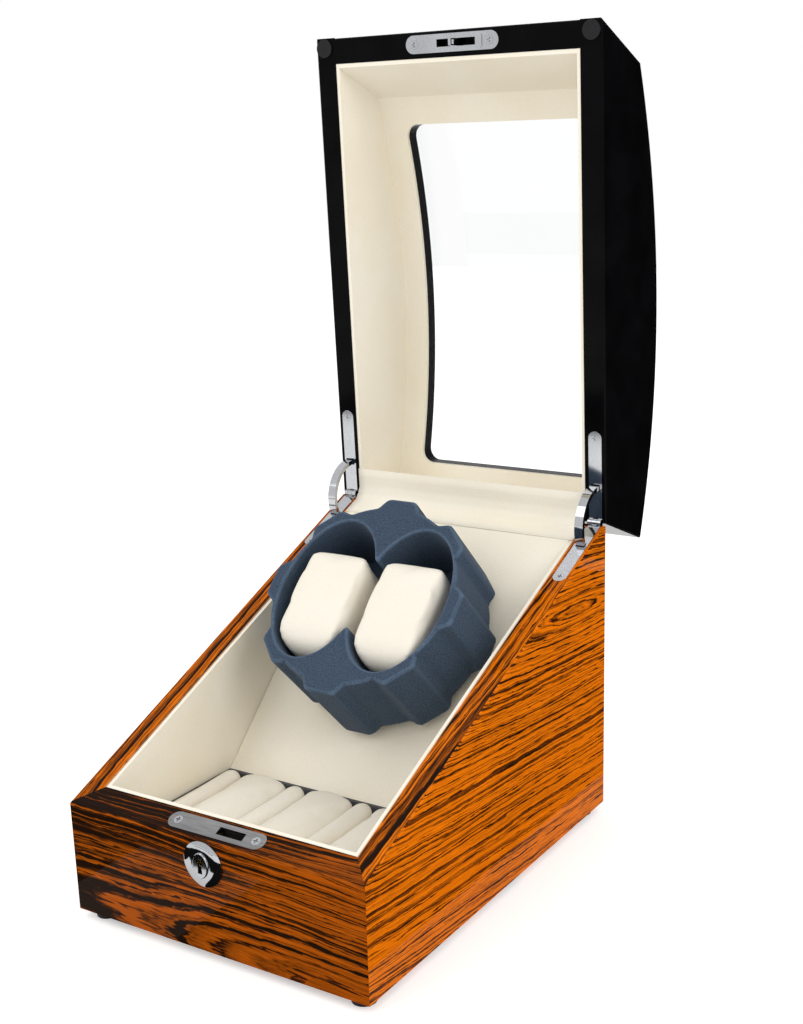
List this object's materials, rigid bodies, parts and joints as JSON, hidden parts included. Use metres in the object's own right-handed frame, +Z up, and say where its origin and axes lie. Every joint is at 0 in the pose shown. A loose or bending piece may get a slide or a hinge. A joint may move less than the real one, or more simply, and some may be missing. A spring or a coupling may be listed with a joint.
{
  "type": "watch winder",
  "caption": "Sloped wooden watch winder case with a hinged bowed lid and window, a motor-driven lobed foam drum with watch pillows, a storage tray and a key lock.",
  "frame": {"origin": "on the surface that the feet rest on, under the middle of the whole with its lid open", "axes": "+X to the right across the case as seen from the front, +Y from the front to the back, +Z up"},
  "size_m": [0.18, 0.3146, 0.4405],
  "materials": {
    "wood_veneer": "high-gloss striped veneer",
    "black_lacquer": "high-gloss black lacquer",
    "black_board": "matt black board",
    "cream_leather": "soft cream leatherette",
    "grey_flock": "dark grey flocking",
    "slate_foam": "slate flocked foam",
    "chrome": "polished",
    "satin_steel": "satin",
    "brass": "machined",
    "rubber": "matt",
    "black_plastic": "matt black",
    "white_plastic": "natural nylon",
    "circuit_board": "green solder mask",
    "clear_pane": "clear polished"
  },
  "bodies": {
    "case": {"front_wall": "wood_veneer", "right_wall": "wood_veneer", "back_wall": "wood_veneer", "left_wall": "wood_veneer", "floor_board": "black_board", "feet": "rubber", "left_lining": "cream_leather", "right_lining": "cream_leather", "front_lining": "cream_leather", "drum_panel": "cream_leather", "bulkhead_board": "black_board", "tray": "grey_flock", "tray_bolsters": "cream_leather", "case_flap": "cream_leather", "lock_plate": "satin_steel", "lock_case": "satin_steel", "escutcheon": "chrome", "case_screws": "chrome", "case_hinge_leaf_left": "chrome", "case_hinge_leaf_right": "chrome", "hinge_pins": "chrome", "gearmotor": "satin_steel", "motor_plate": "satin_steel", "plate_standoffs": "satin_steel", "shaft_bushes": "brass", "control_panel": "black_plastic", "circuit_board": "circuit_board", "power_inlet": "black_plastic", "mode_switch": "black_plastic"},
    "lid": {"lid_left_wall": "black_lacquer", "lid_right_wall": "black_lacquer", "lid_front_rail": "black_lacquer", "lid_rear_rail": "black_lacquer", "lid_bowed_board": "black_lacquer", "lid_window": "clear_pane", "lid_left_lining": "cream_leather", "lid_right_lining": "cream_leather", "lid_front_lining": "cream_leather", "lid_rear_lining": "cream_leather", "lid_top_lining": "cream_leather", "strike_plate": "chrome", "lid_screws": "chrome", "rim_bumpers": "rubber", "lid_hinge_leaf_left": "chrome", "lid_hinge_leaf_right": "chrome", "lid_flap": "cream_leather"},
    "left_arm": {"hinge_arm_left": "chrome"},
    "right_arm": {"hinge_arm_right": "chrome"},
    "drum": {"drum_foam": "slate_foam", "drum_hub": "white_plastic", "drum_gear": "white_plastic"},
    "pinion": {"motor_pinion": "brass"},
    "left_pillow": {"watch_pillow_left": "cream_leather"},
    "right_pillow": {"watch_pillow_right": "cream_leather"},
    "left_cushion": {"tray_cushion_left": "cream_leather"},
    "middle_cushion": {"tray_cushion_middle": "cream_leather"},
    "right_cushion": {"tray_cushion_right": "cream_leather"},
    "key": {"key_plug": "brass"},
    "bolt": {"lock_bolt": "brass"},
    "knob": {"mode_knob": "black_plastic"}
  },
  "joints": [
    {"name": "lid_hinge", "type": "hinge", "parent": "case", "child": "lid", "pos_m": [0, 0.08951, 0.1739], "axis": [-1, 0, 0], "range_deg": [-112, 0]},
    {"name": "left_arm_swing", "type": "hinge", "parent": "case", "child": "left_arm", "pos_m": [-0.0835, 0.08951, 0.1739], "axis": [-1, 0, 0], "range_deg": [-47.04, 0]},
    {"name": "right_arm_swing", "type": "hinge", "parent": "case", "child": "right_arm", "pos_m": [0.0835, 0.08951, 0.1739], "axis": [-1, 0, 0], "range_deg": [-47.04, 0]},
    {"name": "drum_spin", "type": "hinge", "parent": "case", "child": "drum", "pos_m": [0, 0.01741, 0.11074], "axis": [0, -0.7009, 0.7133], "continuous": true},
    {"name": "pinion_spin", "type": "hinge", "parent": "case", "child": "pinion", "pos_m": [0, -0.00541, 0.08832], "axis": [0, -0.7009, 0.7133], "continuous": true},
    {"name": "left_pillow_slide", "type": "slide", "parent": "drum", "child": "left_pillow", "axis": [0, -0.7009, 0.7133], "range_m": [0, 0.06]},
    {"name": "right_pillow_slide", "type": "slide", "parent": "drum", "child": "right_pillow", "axis": [0, -0.7009, 0.7133], "range_m": [0, 0.06]},
    {"name": "left_cushion_lift", "type": "slide", "parent": "case", "child": "left_cushion", "axis": [0, 0, 1], "range_m": [0, 0.04]},
    {"name": "middle_cushion_lift", "type": "slide", "parent": "case", "child": "middle_cushion", "axis": [0, 0, 1], "range_m": [0, 0.04]},
    {"name": "right_cushion_lift", "type": "slide", "parent": "case", "child": "right_cushion", "axis": [0, 0, 1], "range_m": [0, 0.04]},
    {"name": "key_turn", "type": "hinge", "parent": "case", "child": "key", "pos_m": [-0.0035, -0.15449, 0.0538], "axis": [0, 1, 0], "range_deg": [0, 90]},
    {"name": "bolt_slide", "type": "slide", "parent": "case", "child": "bolt", "axis": [1, 0, 0], "range_m": [0, 0.00594]},
    {"name": "mode_knob_turn", "type": "hinge", "parent": "case", "child": "knob", "pos_m": [0.015, 0.08951, 0.043], "axis": [0, 1, 0], "range_deg": [0, 150]}
  ],
  "couplings": [
    {"joint": "left_arm_swing", "follows": "lid_hinge", "ratio": 0.42},
    {"joint": "right_arm_swing", "follows": "lid_hinge", "ratio": 0.42},
    {"joint": "pinion_spin", "follows": "drum_spin", "ratio": -3},
    {"joint": "key_turn", "follows": "bolt_slide", "rad_per_m": 264.45}
  ]
}
